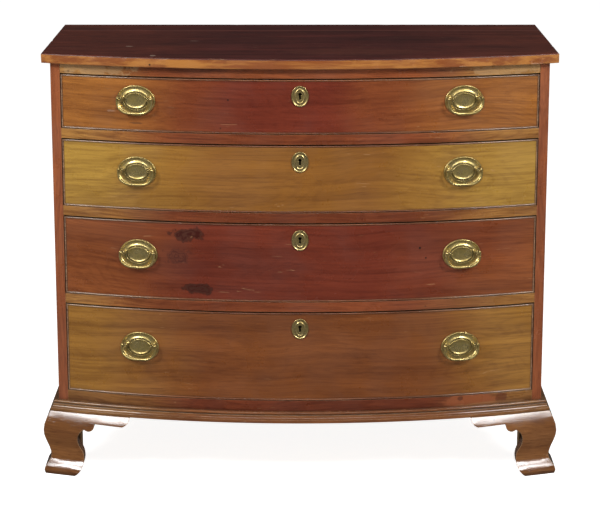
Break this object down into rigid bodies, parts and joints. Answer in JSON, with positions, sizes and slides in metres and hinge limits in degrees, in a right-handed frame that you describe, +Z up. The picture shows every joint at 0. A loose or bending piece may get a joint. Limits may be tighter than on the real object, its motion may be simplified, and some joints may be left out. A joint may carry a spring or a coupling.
{
  "type": "bow front chest of drawers",
  "caption": "Free-standing bow front chest of graduated sliding drawers with cockbeaded fronts, swinging bail pulls, locks and ogee bracket feet",
  "frame": {"origin": "on the floor, centred under the whole chest", "axes": "+Z up, +X to the right of someone facing the chest, the bowed front faces -Y"},
  "size_m": [1.071, 0.548, 0.883],
  "materials": {
    "cherry": "old glossy varnish over figured reddish-brown cherry",
    "pine": "bare aged softwood",
    "poplar": "bare aged drawer lining",
    "brass": "aged yellow brass with dark patina in the recesses",
    "iron": "dull dark iron"
  },
  "bodies": {
    "case": {"back_boards": "pine", "blade_under_1": "cherry", "blade_under_2": "cherry", "blade_under_3": "cherry", "bottom_board": "pine", "bottom_rail": "cherry", "case_side_left": "cherry", "case_side_right": "cherry", "drawer_runners": "pine", "drawer_stops": "pine", "foot_blocks": "pine", "foot_front_brackets": "cherry", "foot_rear_brackets": "pine", "foot_side_brackets": "cherry", "moulding_front": "cherry", "moulding_left": "cherry", "moulding_right": "cherry", "top_board": "cherry", "top_rail_front": "cherry", "top_rail_rear": "pine"},
    "drawer_1": {"drawer_1_front": "cherry", "drawer_1_sides": "poplar", "drawer_1_back": "poplar", "drawer_1_bottom": "poplar", "drawer_1_cockbead": "cherry", "drawer_1_brasses": "brass", "drawer_1_lock": "iron"},
    "drawer_1_bolt": {"drawer_1_bolt": "brass"},
    "drawer_1_bail_left": {"drawer_1_bail_left": "brass"},
    "drawer_1_bail_right": {"drawer_1_bail_right": "brass"},
    "drawer_2": {"drawer_2_front": "cherry", "drawer_2_sides": "poplar", "drawer_2_back": "poplar", "drawer_2_bottom": "poplar", "drawer_2_cockbead": "cherry", "drawer_2_brasses": "brass", "drawer_2_lock": "iron"},
    "drawer_2_bolt": {"drawer_2_bolt": "brass"},
    "drawer_2_bail_left": {"drawer_2_bail_left": "brass"},
    "drawer_2_bail_right": {"drawer_2_bail_right": "brass"},
    "drawer_3": {"drawer_3_front": "cherry", "drawer_3_sides": "poplar", "drawer_3_back": "poplar", "drawer_3_bottom": "poplar", "drawer_3_cockbead": "cherry", "drawer_3_brasses": "brass", "drawer_3_lock": "iron"},
    "drawer_3_bolt": {"drawer_3_bolt": "brass"},
    "drawer_3_bail_left": {"drawer_3_bail_left": "brass"},
    "drawer_3_bail_right": {"drawer_3_bail_right": "brass"},
    "drawer_4": {"drawer_4_front": "cherry", "drawer_4_sides": "poplar", "drawer_4_back": "poplar", "drawer_4_bottom": "poplar", "drawer_4_cockbead": "cherry", "drawer_4_brasses": "brass", "drawer_4_lock": "iron"},
    "drawer_4_bolt": {"drawer_4_bolt": "brass"},
    "drawer_4_bail_left": {"drawer_4_bail_left": "brass"},
    "drawer_4_bail_right": {"drawer_4_bail_right": "brass"}
  },
  "joints": [
    {"name": "drawer_1_slide", "type": "slide", "parent": "case", "child": "drawer_1", "axis": [0, -1, 0], "range_m": [0, 0.34]},
    {"name": "drawer_1_bolt_throw", "type": "slide", "parent": "drawer_1", "child": "drawer_1_bolt", "axis": [0, 0, 1], "range_m": [0, 0.008]},
    {"name": "drawer_1_bail_left_swing", "type": "hinge", "parent": "drawer_1", "child": "drawer_1_bail_left", "pos_m": [-0.3307, -0.23332, 0.7995], "axis": [-0.9763, 0.2162, 0], "range_deg": [-12, 170]},
    {"name": "drawer_1_bail_right_swing", "type": "hinge", "parent": "drawer_1", "child": "drawer_1_bail_right", "pos_m": [0.3307, -0.23332, 0.7995], "axis": [-0.9763, -0.2162, 0], "range_deg": [-12, 170]},
    {"name": "drawer_2_slide", "type": "slide", "parent": "case", "child": "drawer_2", "axis": [0, -1, 0], "range_m": [0, 0.34]},
    {"name": "drawer_2_bolt_throw", "type": "slide", "parent": "drawer_2", "child": "drawer_2_bolt", "axis": [0, 0, 1], "range_m": [0, 0.008]},
    {"name": "drawer_2_bail_left_swing", "type": "hinge", "parent": "drawer_2", "child": "drawer_2_bail_left", "pos_m": [-0.3307, -0.23332, 0.65497], "axis": [-0.9763, 0.2162, 0], "range_deg": [-12, 170]},
    {"name": "drawer_2_bail_right_swing", "type": "hinge", "parent": "drawer_2", "child": "drawer_2_bail_right", "pos_m": [0.3307, -0.23332, 0.65497], "axis": [-0.9763, -0.2162, 0], "range_deg": [-12, 170]},
    {"name": "drawer_3_slide", "type": "slide", "parent": "case", "child": "drawer_3", "axis": [0, -1, 0], "range_m": [0, 0.34]},
    {"name": "drawer_3_bolt_throw", "type": "slide", "parent": "drawer_3", "child": "drawer_3_bolt", "axis": [0, 0, 1], "range_m": [0, 0.008]},
    {"name": "drawer_3_bail_left_swing", "type": "hinge", "parent": "drawer_3", "child": "drawer_3_bail_left", "pos_m": [-0.3307, -0.23332, 0.48425], "axis": [-0.9763, 0.2162, 0], "range_deg": [-12, 170]},
    {"name": "drawer_3_bail_right_swing", "type": "hinge", "parent": "drawer_3", "child": "drawer_3_bail_right", "pos_m": [0.3307, -0.23332, 0.48425], "axis": [-0.9763, -0.2162, 0], "range_deg": [-12, 170]},
    {"name": "drawer_4_slide", "type": "slide", "parent": "case", "child": "drawer_4", "axis": [0, -1, 0], "range_m": [0, 0.34]},
    {"name": "drawer_4_bolt_throw", "type": "slide", "parent": "drawer_4", "child": "drawer_4_bolt", "axis": [0, 0, 1], "range_m": [0, 0.008]},
    {"name": "drawer_4_bail_left_swing", "type": "hinge", "parent": "drawer_4", "child": "drawer_4_bail_left", "pos_m": [-0.3307, -0.23332, 0.28947], "axis": [-0.9763, 0.2162, 0], "range_deg": [-12, 170]},
    {"name": "drawer_4_bail_right_swing", "type": "hinge", "parent": "drawer_4", "child": "drawer_4_bail_right", "pos_m": [0.3307, -0.23332, 0.28947], "axis": [-0.9763, -0.2162, 0], "range_deg": [-12, 170]}
  ]
}
